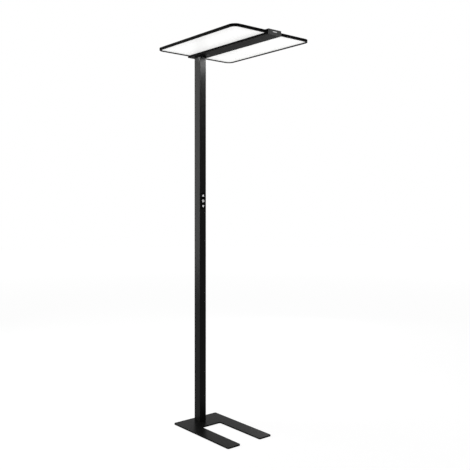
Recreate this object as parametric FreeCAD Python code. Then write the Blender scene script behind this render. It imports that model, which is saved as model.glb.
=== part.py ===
import FreeCAD, Part
import math
import os

# Office floor lamp: a U-shaped steel foot, a rectangular post with three keys, and a flat
# head of two edge-lit wings on either side of a central beam.
#
# Millimetres. The origin is on the floor under the centre of the post. +X is the way the
# head reaches out, +Y is the lamp's left, +Z is up. Every piece is drawn where it sits.

V = FreeCAD.Vector
X_AXIS = V(1, 0, 0)
Y_AXIS = V(0, 1, 0)
Z_AXIS = V(0, 0, 1)

# ---- Driving dimensions ----------------------------------------------------------------

TOTAL_HEIGHT = 1950.0

# Foot
BASE_LENGTH = 450.0
BASE_WIDTH = 275.0
BASE_THICKNESS = 7.0
BASE_BEHIND_POST = 46.0
BASE_CORNER = 9.0
BASE_EDGE_ROUND = 0.8
SLOT_WIDTH = 120.0
SLOT_START = 93.0
PAD_STANDOFF = 1.0
PAD_RADIUS = 9.0
PAD_INSET = 20.0

# Post
POST_DEPTH = 50.0
POST_WIDTH = 40.0
POST_WALL = 2.0
POST_CORNER = 2.5
POST_INNER_CORNER = 1.0
FOOT_BLOCK_HEIGHT = 40.0
HEAD_BLOCK_HEIGHT = 60.0
GLAND_HEIGHT = 70.0
GLAND_BORE = 8.0

# Keys
KEYPAD_HEIGHT = 1165.0
KEYPAD_LENGTH = 85.0
KEYPAD_WIDTH = 30.0
KEY_PITCH = 26.9
KEY_SIZE = 20.0
KEY_TRAVEL = 0.8

# Head
BEAM_WIDTH = 80.0
BEAM_HEIGHT = 25.0
BEAM_BEHIND_POST = 56.0
BEAM_LENGTH = 633.0
HEAD_WIDTH = 480.0
HEAD_LENGTH = 620.0
HEAD_BEHIND_POST = 48.0
HEAD_CORNER = 35.0
FRAME_HEIGHT = 12.0
FRAME_ABOVE_BEAM_BOTTOM = 6.0
FRAME_LIP = 10.0
FRAME_RECESS = 4.0
SENSOR_AHEAD_OF_POST = 68.0
SENSOR_RADIUS = 8.0
STATUS_WINDOW_LENGTH = 26.0
STATUS_WINDOW_HEIGHT = 4.0

# Gaps between pieces that are put together
FIT_GAP = 0.3
SLIP_GAP = 0.1
THREAD_GAP = 0.05

# Screws, by thread
M6_RADIUS = 3.0
M6_HOLE_RADIUS = 3.3
M6_HEAD_RADIUS = 5.6
M6_SEAT_RADIUS = 5.8
M6_KEY = 4.0
M6_CAP_RADIUS = 4.8
M6_CAP_HEIGHT = 5.0
M5_RADIUS = 2.5
M5_HEAD_RADIUS = 4.4
M5_SEAT_RADIUS = 4.6
M5_KEY = 3.0
M3_RADIUS = 1.5
M3_HEAD_RADIUS = 2.8
M3_SEAT_RADIUS = 3.0
M3_KEY = 2.0
M3_CAP_RADIUS = 2.75
M3_CAP_HEIGHT = 2.0
M2_RADIUS = 1.0
M2_CAP_RADIUS = 1.9
M2_CAP_HEIGHT = 1.2
HEAD_SUNK = 0.15
DRIVE_DEPTH_SHARE = 0.6

# What a rounding stays short of a full half circle
ROUND_END_GAP = 0.01

# ---- Heights and edges that follow -----------------------------------------------------

base_bottom = PAD_STANDOFF
base_top = base_bottom + BASE_THICKNESS
base_rear = -BASE_BEHIND_POST
base_front = base_rear + BASE_LENGTH
half_base = BASE_WIDTH / 2
half_slot = SLOT_WIDTH / 2

post_front = POST_DEPTH / 2
post_rear = -POST_DEPTH / 2
half_post = POST_WIDTH / 2
post_inner_front = post_front - POST_WALL

beam_top = TOTAL_HEIGHT
beam_bottom = beam_top - BEAM_HEIGHT
beam_rear = -BEAM_BEHIND_POST
beam_front = beam_rear + BEAM_LENGTH
half_beam = BEAM_WIDTH / 2

frame_bottom = beam_bottom + FRAME_ABOVE_BEAM_BOTTOM
frame_top = frame_bottom + FRAME_HEIGHT
frame_rear = -HEAD_BEHIND_POST
frame_front = frame_rear + HEAD_LENGTH
half_head = HEAD_WIDTH / 2

# ---- Small shared shapes ---------------------------------------------------------------


def box(x, y, z):
    """A block between the two values of each axis."""
    return Part.makeBox(x[1] - x[0], y[1] - y[0], z[1] - z[0], V(x[0], y[0], z[0]))


def along(edge, axis):
    """Whether a straight edge runs along the axis."""
    if edge.Curve.TypeId != "Part::GeomLine":
        return False
    return abs(edge.tangentAt(edge.FirstParameter).dot(axis)) > 0.999


def round_edges_along(shape, axis, radius):
    """The shape with every straight edge along the axis rounded."""
    return shape.makeFillet(radius, [edge for edge in shape.Edges if along(edge, axis)])


def edges_at(shape, axis, level):
    """The edges that lie whole in the plane across the axis at this level."""
    found = []
    for edge in shape.Edges:
        low = edge.BoundBox.getPoint(0).dot(axis)
        high = edge.BoundBox.getPoint(6).dot(axis)
        if abs(low - level) < 0.01 and abs(high - level) < 0.01:
            found.append(edge)
    return found


def rod(start, axis, radius, length):
    """A round bar from start along the axis."""
    return Part.makeCylinder(radius, length, start, axis)


def countersunk_screw(face_centre, axis, shank_radius, head_radius, length, key_width):
    """A flat-head screw: the axis points from the head's face to the tip."""
    head_depth = head_radius - shank_radius
    head = Part.makeCone(head_radius, shank_radius, head_depth, face_centre, axis)
    shank = rod(face_centre, axis, shank_radius, length)
    drive = hexagon(face_centre, axis, key_width, head_depth * DRIVE_DEPTH_SHARE)
    return head.fuse(shank).cut(drive).removeSplitter()


def cap_screw(under_head, axis, shank_radius, length, head_radius, head_height):
    """A socket-head screw: the axis points from the head to the tip."""
    top = under_head - axis * head_height
    head = rod(top, axis, head_radius, head_height)
    shank = rod(under_head, axis, shank_radius, length)
    drive = hexagon(top, axis, head_radius, head_height * DRIVE_DEPTH_SHARE)
    return head.fuse(shank).cut(drive).removeSplitter()


def hexagon(start, axis, across_flats, depth):
    """A six-sided prism from start along the axis."""
    corner_radius = across_flats / math.sqrt(3)
    side = Y_AXIS if abs(axis.dot(Y_AXIS)) < 0.5 else X_AXIS
    other = axis.cross(side)
    corners = []
    for turn in range(7):
        angle = math.radians(60 * turn)
        corners.append(start + side * (corner_radius * math.cos(angle))
                       + other * (corner_radius * math.sin(angle)))
    return Part.Face(Part.makePolygon(corners)).extrude(axis * depth)


def countersink(face_point, axis, hole_radius, head_radius, depth):
    """The cutter for a flat-head screw's seat and hole."""
    cone = Part.makeCone(head_radius, hole_radius, head_radius - hole_radius, face_point, axis)
    return cone.fuse(rod(face_point, axis, hole_radius, depth))


def cut_all(shape, cutters):
    """The shape less every cutter."""
    for cutter in cutters:
        shape = shape.cut(cutter)
    return shape


def corners_of(half_x, half_y):
    """The four points of a rectangle about the origin."""
    return [(sx * half_x, sy * half_y) for sx in (-1, 1) for sy in (-1, 1)]


# ---- Foot ------------------------------------------------------------------------------

FOOT_SCREW_X = 14.5
FOOT_SCREW_Y = 10.0
FOOT_SCREW_LENGTH = 28.0
PAD_POCKET = 1.0
PAD_EDGE_ROUND = 0.4

pad_places = [(0.0, 0.0)]
for pad_x in (base_rear + PAD_INSET, base_front - PAD_INSET):
    for pad_side in (-1, 1):
        pad_places.append((pad_x, pad_side * (half_base - PAD_INSET)))


def base_plate():
    """The U-shaped steel plate, open to the front, for a desk leg to stand in."""
    plate = box((base_rear, base_front), (-half_base, half_base), (base_bottom, base_top))
    slot = box((SLOT_START, base_front + 1), (-half_slot, half_slot),
               (base_bottom - 1, base_top + 1))
    plate = round_edges_along(plate.cut(slot), Z_AXIS, BASE_CORNER)
    plate = plate.makeFillet(BASE_EDGE_ROUND, edges_at(plate, Z_AXIS, base_top))
    plate = plate.makeFillet(BASE_EDGE_ROUND / 2, edges_at(plate, Z_AXIS, base_bottom))
    cutters = []
    for x, y in corners_of(FOOT_SCREW_X, FOOT_SCREW_Y):
        cutters.append(countersink(V(x, y, base_bottom), Z_AXIS, M6_HOLE_RADIUS,
                                   M6_SEAT_RADIUS, BASE_THICKNESS + 1))
    for x, y in pad_places:
        cutters.append(rod(V(x, y, base_bottom), Z_AXIS, PAD_RADIUS, PAD_POCKET))
    return cut_all(plate, cutters)


def glide_pads():
    """Five round pads let into the plate's underside: four corners and one at the post."""
    pads = []
    for x, y in pad_places:
        pad = rod(V(x, y, 0), Z_AXIS, PAD_RADIUS - THREAD_GAP, PAD_STANDOFF + PAD_POCKET)
        pads.append(pad.makeFillet(PAD_EDGE_ROUND, edges_at(pad, Z_AXIS, 0)))
    return Part.makeCompound(pads)


def foot_screws():
    """Four flat-head screws from below, through the plate into the foot block."""
    screws = []
    for x, y in corners_of(FOOT_SCREW_X, FOOT_SCREW_Y):
        screws.append(countersunk_screw(V(x, y, base_bottom + HEAD_SUNK), Z_AXIS, M6_RADIUS,
                                        M6_HEAD_RADIUS, FOOT_SCREW_LENGTH, M6_KEY))
    return Part.makeCompound(screws)


# ---- Post ------------------------------------------------------------------------------

SIDE_SCREW_LENGTH = 12.0
HEAD_SCREW_LENGTH = 30.0
WIRE_PASSAGE_RADIUS = 7.0
FOOT_SIDE_SCREWS = (12.0, 28.0)
HEAD_SIDE_SCREWS = (45.0, 15.0)

foot_side_heights = [base_top + above_base for above_base in FOOT_SIDE_SCREWS]
head_side_heights = [beam_bottom - below_beam for below_beam in HEAD_SIDE_SCREWS]
half_block_x = POST_DEPTH / 2 - POST_WALL - FIT_GAP
half_block_y = POST_WIDTH / 2 - POST_WALL - FIT_GAP


def side_threads(heights):
    """The cutters for the threads that a block's rear side screws go into."""
    start = -half_block_x - 1
    return [rod(V(start, 0, z), X_AXIS, M5_RADIUS + THREAD_GAP, SIDE_SCREW_LENGTH) for z in heights]


def foot_block():
    """The metal plug in the post's lower end, which the foot screws hold."""
    block = box((-half_block_x, half_block_x), (-half_block_y, half_block_y),
                (base_top, base_top + FOOT_BLOCK_HEIGHT))
    block = round_edges_along(block, Z_AXIS, POST_INNER_CORNER)
    cutters = side_threads(foot_side_heights)
    for x, y in corners_of(FOOT_SCREW_X, FOOT_SCREW_Y):
        cutters.append(rod(V(x, y, base_top - 1), Z_AXIS, M6_RADIUS + THREAD_GAP,
                           FOOT_SCREW_LENGTH))
    return cut_all(block, cutters)


def head_block():
    """The metal plug in the post's upper end, with a way through for the wires."""
    block = box((-half_block_x, half_block_x), (-half_block_y, half_block_y),
                (beam_bottom - HEAD_BLOCK_HEIGHT, beam_bottom))
    block = round_edges_along(block, Z_AXIS, POST_INNER_CORNER)
    cutters = side_threads(head_side_heights)
    cutters.append(rod(V(0, 0, beam_bottom - HEAD_BLOCK_HEIGHT - 1), Z_AXIS,
                       WIRE_PASSAGE_RADIUS, HEAD_BLOCK_HEIGHT + 2))
    for x, y in corners_of(FOOT_SCREW_X, FOOT_SCREW_Y):
        cutters.append(rod(V(x, y, beam_bottom - HEAD_SCREW_LENGTH), Z_AXIS,
                           M6_RADIUS + THREAD_GAP, HEAD_SCREW_LENGTH + 1))
    return cut_all(block, cutters)


def side_screws(heights):
    """Flat-head screws in the post's rear face, flush with it."""
    screws = [countersunk_screw(V(post_rear + HEAD_SUNK, 0, z), X_AXIS, M5_RADIUS, M5_HEAD_RADIUS,
                                SIDE_SCREW_LENGTH, M5_KEY) for z in heights]
    return Part.makeCompound(screws)


GLAND_THREAD_RADIUS = 6.0
GLAND_DOME_RADIUS = 9.0
GLAND_DOME_LENGTH = 5.0
GLAND_INNER_END = -13.0
GLAND_NUT_WIDTH = 17.0
GLAND_NUT_LENGTH = 4.0
GLAND_MOUTH_ROUND = 1.0
GLAND_DOME_ROUND = 2.0


def cable_gland():
    """The gland that the supply cord enters by, low in the post's rear face."""
    outer_end = post_rear - GLAND_DOME_LENGTH
    dome = rod(V(outer_end, 0, GLAND_HEIGHT), X_AXIS, GLAND_DOME_RADIUS, GLAND_DOME_LENGTH)
    dome = dome.makeFillet(GLAND_DOME_ROUND, edges_at(dome, X_AXIS, outer_end))
    thread = rod(V(post_rear, 0, GLAND_HEIGHT), X_AXIS, GLAND_THREAD_RADIUS,
                 GLAND_INNER_END - post_rear)
    bore = rod(V(outer_end - 1, 0, GLAND_HEIGHT), X_AXIS, GLAND_BORE / 2,
               GLAND_INNER_END - outer_end + 2)
    gland = dome.fuse(thread).cut(bore)
    mouth = [edge for edge in edges_at(gland, X_AXIS, outer_end)
             if edge.BoundBox.YLength < GLAND_BORE + 1]
    return gland.makeFillet(GLAND_MOUTH_ROUND, mouth)


def gland_nut():
    """The nut that pulls the gland tight from inside the post."""
    start = V(post_rear + POST_WALL, 0, GLAND_HEIGHT)
    nut = hexagon(start, X_AXIS, GLAND_NUT_WIDTH, GLAND_NUT_LENGTH)
    return nut.cut(rod(start, X_AXIS, GLAND_THREAD_RADIUS + THREAD_GAP, GLAND_NUT_LENGTH))


KEYPAD_WINDOW_LENGTH = 80.5
KEYPAD_WINDOW_WIDTH = 26.0
KEYPAD_WINDOW_CORNER = 2.0


def post_profile():
    """The extruded aluminium post: a rounded rectangular tube, cut for keys and gland."""
    tube = box((post_rear, post_front), (-half_post, half_post), (base_top, beam_bottom))
    tube = round_edges_along(tube, Z_AXIS, POST_CORNER)
    inside = box((post_rear + POST_WALL, post_inner_front),
                 (-half_post + POST_WALL, half_post - POST_WALL),
                 (base_top - 1, beam_bottom + 1))
    tube = tube.cut(round_edges_along(inside, Z_AXIS, POST_INNER_CORNER))
    window = box((post_inner_front - 1, post_front + 1),
                 (-KEYPAD_WINDOW_WIDTH / 2, KEYPAD_WINDOW_WIDTH / 2),
                 (KEYPAD_HEIGHT - KEYPAD_WINDOW_LENGTH / 2,
                  KEYPAD_HEIGHT + KEYPAD_WINDOW_LENGTH / 2))
    cutters = [round_edges_along(window, X_AXIS, KEYPAD_WINDOW_CORNER)]
    cutters.append(rod(V(post_rear - 1, 0, GLAND_HEIGHT), X_AXIS,
                       GLAND_THREAD_RADIUS + SLIP_GAP, POST_WALL + 2))
    for z in foot_side_heights + head_side_heights:
        cutters.append(countersink(V(post_rear, 0, z), X_AXIS, M5_RADIUS + FIT_GAP,
                                   M5_SEAT_RADIUS, POST_WALL + 1))
    return cut_all(tube, cutters)


# ---- Keypad ----------------------------------------------------------------------------
# From the front: a black plate with three openings, a shallow tray behind it through the
# post's window, three keys held back by their flanges, and a board with a switch for each.

KEYPAD_PROUD = 1.0
PLATE_RECESS = 1.0
KEYPAD_CORNER = 4.0
KEYPAD_EDGE_ROUND = 0.4
TRAY_WALL = 1.2
TRAY_BACK = 14.0
KEY_CORNER = 2.5
KEY_PROUD = 0.3
KEY_FLANGE = 1.4
KEY_FLANGE_THICKNESS = 1.0
KEY_EDGE_ROUND = 0.5
KEY_STEM_RADIUS = 2.0
BOARD_THICKNESS = 1.6
SWITCH_SIZE = 6.0
SWITCH_HEIGHT = 3.0
PLUNGER_RADIUS = 1.5
PLUNGER_HEIGHT = 0.5
MARK_DEPTH = 0.8
MARK_SPAN = 13.5
MARK_ROUND = 1.0
POWER_RADIUS = 6.8
POWER_RING = 2.8
POWER_GAP = 6.0
POWER_BAR = (0.5, 7.5)

plate_back = post_front - PLATE_RECESS
plate_face = post_front + KEYPAD_PROUD
key_face = plate_face + KEY_PROUD
key_back = plate_back - FIT_GAP - KEY_FLANGE_THICKNESS
half_tray_y = KEYPAD_WINDOW_WIDTH / 2 - FIT_GAP
half_tray_z = KEYPAD_WINDOW_LENGTH / 2 - FIT_GAP
switch_top = TRAY_BACK + SWITCH_HEIGHT + PLUNGER_HEIGHT
key_heights = {"up": KEYPAD_HEIGHT + KEY_PITCH, "power": KEYPAD_HEIGHT,
               "down": KEYPAD_HEIGHT - KEY_PITCH}


def rounded_block_x(x, half_y, z_middle, half_z, radius):
    """A block whose four edges along X are rounded."""
    block = box(x, (-half_y, half_y), (z_middle - half_z, z_middle + half_z))
    return round_edges_along(block, X_AXIS, radius)


def control_plate():
    """The keypad's face with the tray that fills the window in the post."""
    face = rounded_block_x((post_front, plate_face), KEYPAD_WIDTH / 2, KEYPAD_HEIGHT,
                           KEYPAD_LENGTH / 2, KEYPAD_CORNER)
    face = face.makeFillet(KEYPAD_EDGE_ROUND, edges_at(face, X_AXIS, plate_face))
    tray = rounded_block_x((TRAY_BACK, post_front), half_tray_y, KEYPAD_HEIGHT, half_tray_z,
                           KEYPAD_WINDOW_CORNER - FIT_GAP)
    hollow = box((TRAY_BACK - 1, plate_back),
                 (-half_tray_y + TRAY_WALL, half_tray_y - TRAY_WALL),
                 (KEYPAD_HEIGHT - half_tray_z + TRAY_WALL, KEYPAD_HEIGHT + half_tray_z - TRAY_WALL))
    plate = face.fuse(tray).cut(hollow)
    openings = [rounded_block_x((plate_back - 1, plate_face + 1), KEY_SIZE / 2, z, KEY_SIZE / 2,
                                KEY_CORNER) for z in key_heights.values()]
    return cut_all(plate, openings).removeSplitter()


def arrow_mark(pointing, grow):
    """The inlaid arrow, up (1) or down (-1), or with grow its slightly larger pocket."""
    middle = key_heights["up"] if pointing > 0 else key_heights["down"]
    reach = MARK_SPAN / math.sqrt(3) + 2 * grow
    low = key_face - MARK_DEPTH - grow
    corners = []
    for turn in range(4):
        angle = math.radians(120 * turn)
        corners.append(V(low, reach * math.sin(angle), middle + pointing * reach * math.cos(angle)))
    arrow = Part.Face(Part.makePolygon(corners)).extrude(X_AXIS * (MARK_DEPTH + 2 * grow))
    return round_edges_along(arrow, X_AXIS, MARK_ROUND + grow)


def power_mark(grow):
    """The inlaid power sign: a ring open at the top, with a bar in the opening."""
    middle = V(key_face - MARK_DEPTH - grow, 0, key_heights["power"])
    depth = MARK_DEPTH + 2 * grow
    ring = rod(middle, X_AXIS, POWER_RADIUS + grow, depth)
    ring = ring.cut(rod(middle, X_AXIS, POWER_RADIUS - POWER_RING - grow, depth))
    half_gap = POWER_GAP / 2 - grow
    ring = ring.cut(box((middle.x - 1, key_face + 1), (-half_gap, half_gap),
                        (middle.z, middle.z + POWER_RADIUS + 1)))
    half_bar = POWER_RING / 2 + grow
    bar = box((middle.x, middle.x + depth), (-half_bar, half_bar),
              (middle.z + POWER_BAR[0] - grow, middle.z + POWER_BAR[1] + grow))
    return Part.makeCompound([ring, bar])


def key(name, pocket):
    """One key: a square cap, a flange behind the plate and a stem towards its switch."""
    z = key_heights[name]
    half_cap = KEY_SIZE / 2 - FIT_GAP
    cap = rounded_block_x((key_back, key_face), half_cap, z, half_cap, KEY_CORNER - FIT_GAP)
    cap = cap.makeFillet(KEY_EDGE_ROUND, edges_at(cap, X_AXIS, key_face))
    half_flange = half_cap + KEY_FLANGE
    flange = box((key_back, key_back + KEY_FLANGE_THICKNESS), (-half_flange, half_flange),
                 (z - half_flange, z + half_flange))
    stem_start = switch_top + KEY_TRAVEL + FIT_GAP
    stem_end = key_back + KEY_FLANGE_THICKNESS / 2
    stem = rod(V(stem_start, 0, z), X_AXIS, KEY_STEM_RADIUS, stem_end - stem_start)
    return cap.fuse(flange).fuse(stem).removeSplitter().cut(pocket)


def control_board():
    """The keypad's circuit board, against the back of the tray."""
    return box((TRAY_BACK - BOARD_THICKNESS, TRAY_BACK), (-half_tray_y, half_tray_y),
               (KEYPAD_HEIGHT - half_tray_z, KEYPAD_HEIGHT + half_tray_z))


def key_switches():
    """Three small push switches on the board, one behind each key."""
    switches = []
    half = SWITCH_SIZE / 2
    for z in key_heights.values():
        body = box((TRAY_BACK, TRAY_BACK + SWITCH_HEIGHT), (-half, half), (z - half, z + half))
        plunger = rod(V(TRAY_BACK + SWITCH_HEIGHT, 0, z), X_AXIS, PLUNGER_RADIUS, PLUNGER_HEIGHT)
        switches.append(body.fuse(plunger))
    return Part.makeCompound(switches)


LEAD_RADIUS = 2.5
LEAD_BEND = 12.0
LEAD_ABOVE_KEYPAD = 25.0
LEAD_ABOVE_BEAM_BOTTOM = 14.5
TERMINAL_START = 105.0


def control_lead():
    """The lead from the keypad's board up the post and along the beam to the terminals."""
    low_z = KEYPAD_HEIGHT + LEAD_ABOVE_KEYPAD
    high_z = beam_bottom + LEAD_ABOVE_BEAM_BOTTOM
    bend = LEAD_BEND
    diagonal = bend * (1 - math.sqrt(0.5))
    start = V(TRAY_BACK - BOARD_THICKNESS, 0, low_z)
    low_in = V(bend, 0, low_z)
    low_middle = V(diagonal, 0, low_z + diagonal)
    low_out = V(0, 0, low_z + bend)
    high_in = V(0, 0, high_z - bend)
    high_middle = V(diagonal, 0, high_z - diagonal)
    high_out = V(bend, 0, high_z)
    end = V(TERMINAL_START, 0, high_z)
    route = Part.Wire([Part.LineSegment(start, low_in).toShape(),
                       Part.Arc(low_in, low_middle, low_out).toShape(),
                       Part.LineSegment(low_out, high_in).toShape(),
                       Part.Arc(high_in, high_middle, high_out).toShape(),
                       Part.LineSegment(high_out, end).toShape()])
    section = Part.Wire(Part.Circle(start, X_AXIS, LEAD_RADIUS).toShape())
    return route.makePipeShell([section], True, False)


# ---- Beam ------------------------------------------------------------------------------

BEAM_WALL = 2.0
BEAM_FLOOR = 2.5
COVER_THICKNESS = 2.0
RAIL_WIDTH = 6.0
RAIL_HEIGHT = 4.0
CAP_THICKNESS = 3.0
CAP_PLUG = 4.0
CAP_PLUG_WALL = 3.0
BEAM_EDGE_ROUND = 0.6
FIN_REACH = 3.0
FIN_THICKNESS = 1.6
FIN_GAP = 0.2
COVER_SCREW_LENGTH = 5.0
COVER_SCREW_INSET = 20.0
COVER_SCREWS_PER_SIDE = 4
VENT_COUNT = 14
VENT_PITCH = 12.0
VENT_LENGTH = 26.0
VENT_WIDTH = 3.0
DRIVER_MIDDLE = 330.0

floor_top = beam_bottom + BEAM_FLOOR
cover_bottom = beam_top - COVER_THICKNESS
body_rear = beam_rear + CAP_THICKNESS
body_front = beam_front - CAP_THICKNESS
rail_middle = half_beam - BEAM_WALL - RAIL_WIDTH / 2

# The stack of sheets in each wing, from below: lower diffuser, light guide, upper diffuser.
LOWER_SHEET = 2.0
GUIDE_SHEET = 3.0
UPPER_SHEET = 1.5
lower_sheet_z = (frame_bottom + FRAME_RECESS, frame_bottom + FRAME_RECESS + LOWER_SHEET)
guide_z = (lower_sheet_z[1] + SLIP_GAP, lower_sheet_z[1] + SLIP_GAP + GUIDE_SHEET)
upper_sheet_z = (guide_z[1] + SLIP_GAP, guide_z[1] + SLIP_GAP + UPPER_SHEET)

# The beam's fins run just below the lower sheet and from just above the upper one.
lower_fin_top = frame_bottom + FRAME_RECESS - FIN_GAP
lower_fin_z = (lower_fin_top - FIN_THICKNESS, lower_fin_top)
upper_fin_z = (upper_sheet_z[1] + FIN_GAP, frame_top)

FRAME_SCREW_INSET = 5.5
FRAME_SCREW_RISE = 2.8
FRAME_SCREW_LENGTH = 9.0
frame_screw_x = (frame_rear + FRAME_SCREW_INSET, frame_front - FRAME_SCREW_INSET)
frame_screw_z = frame_bottom + FRAME_SCREW_RISE

cover_screw_places = []
first_cover_screw = body_rear + COVER_SCREW_INSET
last_cover_screw = body_front - COVER_SCREW_INSET
cover_screw_step = (last_cover_screw - first_cover_screw) / (COVER_SCREWS_PER_SIDE - 1)
for screw_number in range(COVER_SCREWS_PER_SIDE):
    for rail_side in (-1, 1):
        cover_screw_places.append((first_cover_screw + screw_number * cover_screw_step,
                                   rail_side * rail_middle))


def beam_body():
    """The beam's extruded channel, with rails for the lid and fins that grip the sheets."""
    run = (body_rear, body_front)
    channel = box(run, (-half_beam, half_beam), (beam_bottom, cover_bottom))
    lower_edges = [edge for edge in edges_at(channel, Z_AXIS, beam_bottom) if along(edge, X_AXIS)]
    channel = channel.makeFillet(BEAM_EDGE_ROUND, lower_edges)
    inside = half_beam - BEAM_WALL
    channel = channel.cut(box((run[0] - 1, run[1] + 1), (-inside, inside), (floor_top, cover_bottom + 1)))
    for side in (-1, 1):
        rail = sorted((side * inside, side * (inside - RAIL_WIDTH)))
        channel = channel.fuse(box((run[0] + CAP_PLUG + 1, run[1] - CAP_PLUG - 1), rail,
                                   (cover_bottom - RAIL_HEIGHT, cover_bottom)))
        fin = sorted((side * half_beam, side * (half_beam + FIN_REACH)))
        fin_run = (frame_rear + FRAME_LIP + SLIP_GAP, frame_front - FRAME_LIP - SLIP_GAP)
        channel = channel.fuse(box(fin_run, fin, lower_fin_z))
        channel = channel.fuse(box(fin_run, fin, upper_fin_z))
    cutters = [rod(V(0, 0, beam_bottom - 1), Z_AXIS, WIRE_PASSAGE_RADIUS, BEAM_FLOOR + 2)]
    cutters.append(rod(V(SENSOR_AHEAD_OF_POST, 0, beam_bottom - 1), Z_AXIS,
                       SENSOR_RADIUS + SLIP_GAP, BEAM_FLOOR + 2))
    for x, y in corners_of(FOOT_SCREW_X, FOOT_SCREW_Y):
        cutters.append(rod(V(x, y, beam_bottom - 1), Z_AXIS, M6_HOLE_RADIUS, BEAM_FLOOR + 2))
    for x, y in cover_screw_places:
        cutters.append(rod(V(x, y, cover_bottom - RAIL_HEIGHT - 1), Z_AXIS,
                           M3_RADIUS + THREAD_GAP, RAIL_HEIGHT + 2))
    for x in frame_screw_x:
        cutters.append(rod(V(x, -half_beam - 1, frame_screw_z), Y_AXIS, M2_RADIUS + SLIP_GAP,
                           BEAM_WIDTH + 2))
    for x in driver_screw_places():
        cutters.append(rod(V(x, 0, floor_top - DRIVER_SCREW_BITE), Z_AXIS,
                           M3_RADIUS + THREAD_GAP, DRIVER_SCREW_BITE + 1))
    return cut_all(channel, cutters).removeSplitter()


def beam_cover():
    """The flat lid of the beam, with a row of vents over the driver."""
    lid = box((body_rear, body_front), (-half_beam, half_beam), (cover_bottom, beam_top))
    upper_edges = [edge for edge in edges_at(lid, Z_AXIS, beam_top) if along(edge, X_AXIS)]
    lid = lid.makeFillet(BEAM_EDGE_ROUND, upper_edges)
    cutters = []
    for x, y in cover_screw_places:
        cutters.append(countersink(V(x, y, beam_top), -Z_AXIS, M3_RADIUS + SLIP_GAP,
                                   M3_SEAT_RADIUS, COVER_THICKNESS + 1))
    for number in range(VENT_COUNT):
        x = DRIVER_MIDDLE + (number - (VENT_COUNT - 1) / 2) * VENT_PITCH
        vent = box((x - VENT_WIDTH / 2, x + VENT_WIDTH / 2), (-VENT_LENGTH / 2, VENT_LENGTH / 2),
                   (cover_bottom - 1, beam_top + 1))
        cutters.append(round_edges_along(vent, Z_AXIS, VENT_WIDTH / 2 - ROUND_END_GAP))
    return cut_all(lid, cutters)


def cover_screws():
    """Flat-head screws that hold the lid down on the rails."""
    screws = [countersunk_screw(V(x, y, beam_top - HEAD_SUNK), -Z_AXIS, M3_RADIUS, M3_HEAD_RADIUS,
                                COVER_SCREW_LENGTH, M3_KEY) for x, y in cover_screw_places]
    return Part.makeCompound(screws)


def end_cap(outer_face, inner_face):
    """A plate that closes one end of the beam, with a plug that grips the channel."""
    plate = box(sorted((outer_face, inner_face)), (-half_beam, half_beam), (beam_bottom, beam_top))
    plate = round_edges_along(plate, X_AXIS, BEAM_EDGE_ROUND)
    plate = plate.makeFillet(BEAM_EDGE_ROUND / 2, edges_at(plate, X_AXIS, outer_face))
    inward = 1 if inner_face > outer_face else -1
    plug_end = inner_face + inward * CAP_PLUG
    plug_half = half_beam - BEAM_WALL - SLIP_GAP
    plug_z = (floor_top + SLIP_GAP, cover_bottom - SLIP_GAP)
    plug = box(sorted((inner_face, plug_end)), (-plug_half, plug_half), plug_z)
    hollow = box(sorted((inner_face, plug_end + inward)),
                 (-plug_half + CAP_PLUG_WALL, plug_half - CAP_PLUG_WALL),
                 (plug_z[0] + CAP_PLUG_WALL, plug_z[1] - CAP_PLUG_WALL))
    return plate.fuse(plug.cut(hollow)).removeSplitter()


STATUS_FLANGE = 1.5
STATUS_FLANGE_THICKNESS = 1.5
STATUS_ABOVE_MIDDLE = 2.0
STATUS_BOARD_LENGTH = 30.0
STATUS_BOARD_HEIGHT = 9.0
status_z = beam_bottom + BEAM_HEIGHT / 2 + STATUS_ABOVE_MIDDLE


def front_cap():
    """The front end cap, with an opening for the status window."""
    opening = rounded_block_x((body_front - 1, beam_front + 1), STATUS_WINDOW_LENGTH / 2 + SLIP_GAP,
                              status_z, STATUS_WINDOW_HEIGHT / 2 + SLIP_GAP,
                              STATUS_WINDOW_HEIGHT / 2)
    return end_cap(beam_front, body_front).cut(opening)


def rear_cap():
    """The rear end cap, bare."""
    return end_cap(beam_rear, body_rear)


def status_window():
    """A small pale window in the front cap, held by a flange behind it."""
    window = rounded_block_x((body_front, beam_front), STATUS_WINDOW_LENGTH / 2, status_z,
                             STATUS_WINDOW_HEIGHT / 2, STATUS_WINDOW_HEIGHT / 2 - ROUND_END_GAP)
    flange = rounded_block_x((body_front - STATUS_FLANGE_THICKNESS, body_front),
                             STATUS_WINDOW_LENGTH / 2 + STATUS_FLANGE, status_z,
                             STATUS_WINDOW_HEIGHT / 2 + STATUS_FLANGE, STATUS_FLANGE)
    return window.fuse(flange).removeSplitter()


def status_board():
    """The small board with the lamp's status light, behind its window."""
    back = body_front - STATUS_FLANGE_THICKNESS - SLIP_GAP
    half_length = STATUS_BOARD_LENGTH / 2
    half_height = STATUS_BOARD_HEIGHT / 2
    return box((back - BOARD_THICKNESS, back), (-half_length, half_length),
               (status_z - half_height, status_z + half_height))


SENSOR_PROUD = 1.0
SENSOR_EDGE_ROUND = 0.8
SENSOR_FLANGE = 3.0
SENSOR_FLANGE_THICKNESS = 1.5
SENSOR_BOARD_SIZE = 24.0


def sensor_lens():
    """The round sensor lens in the beam's underside, ahead of the post."""
    low = beam_bottom - SENSOR_PROUD
    lens = rod(V(SENSOR_AHEAD_OF_POST, 0, low), Z_AXIS, SENSOR_RADIUS, floor_top - low)
    lens = lens.makeFillet(SENSOR_EDGE_ROUND, edges_at(lens, Z_AXIS, low))
    flange = rod(V(SENSOR_AHEAD_OF_POST, 0, floor_top), Z_AXIS, SENSOR_RADIUS + SENSOR_FLANGE,
                 SENSOR_FLANGE_THICKNESS)
    return lens.fuse(flange).removeSplitter()


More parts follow.
